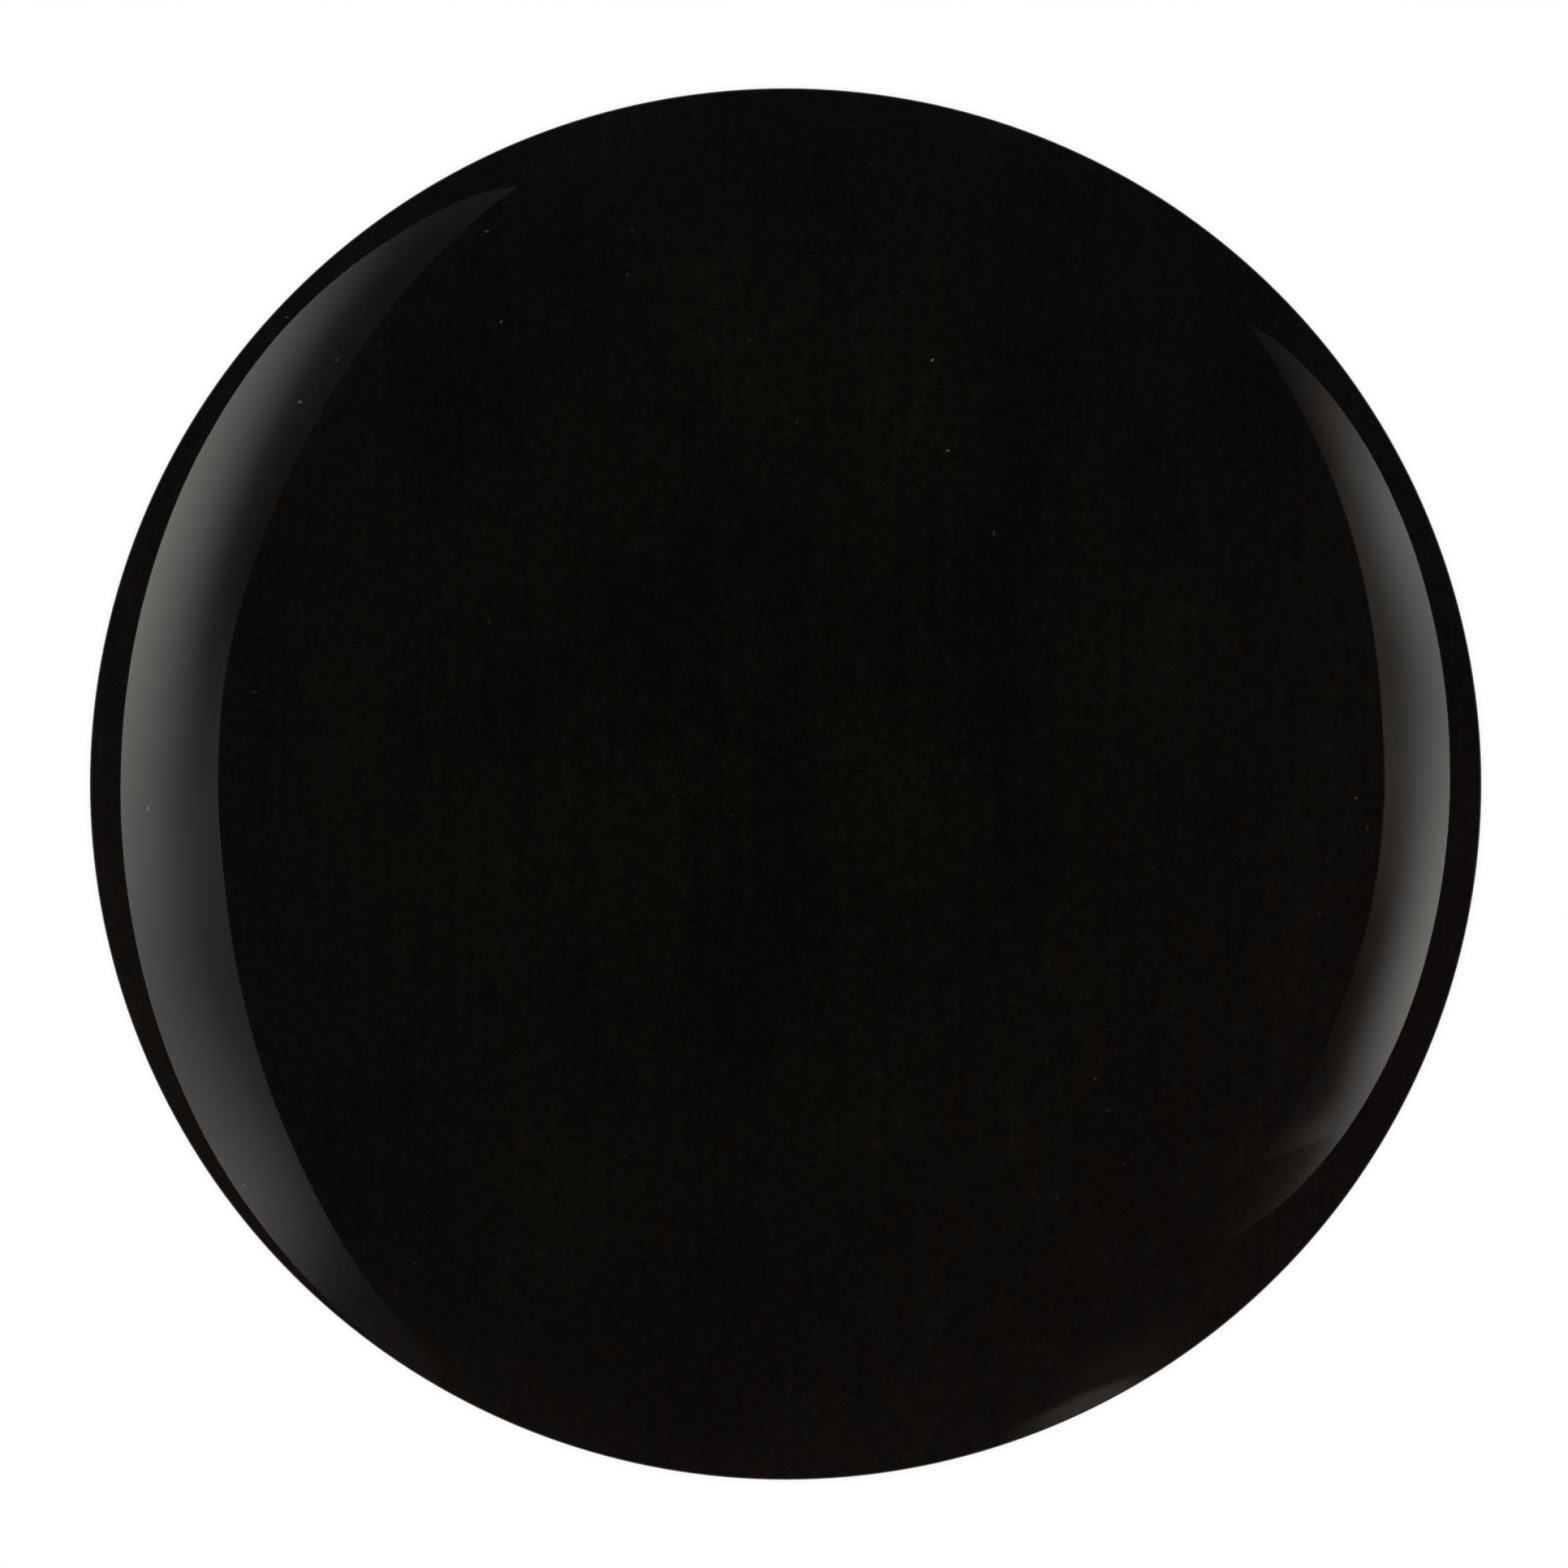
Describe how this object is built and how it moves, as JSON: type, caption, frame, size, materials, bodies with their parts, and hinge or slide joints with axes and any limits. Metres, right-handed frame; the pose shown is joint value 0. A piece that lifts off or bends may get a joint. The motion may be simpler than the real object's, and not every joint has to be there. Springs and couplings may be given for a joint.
{
  "type": "lacquer colour chip",
  "caption": "Round flat-backed domed chip with a straight edge band, finished in gloss black lacquer under a clear top coat.",
  "frame": {"origin": "centre of the flat back face, on the surface that the chip rests on", "axes": "+Z along the dome's axis from the back face to the crown, +Y along the brush streaks"},
  "size_m": [0.0204, 0.0204, 0.0049],
  "materials": {
    "moulded_plastic": "satin as moulded",
    "clear_base": "clear film, hidden",
    "black_lacquer": "brushed black, faint upright streaks",
    "clear_gloss": "clear high gloss, levelled"
  },
  "bodies": {
    "root": {"chip_blank": "moulded_plastic", "base_coat": "clear_base", "colour_coat_first": "black_lacquer", "colour_coat_second": "black_lacquer", "top_coat": "clear_gloss"}
  },
  "joints": []
}
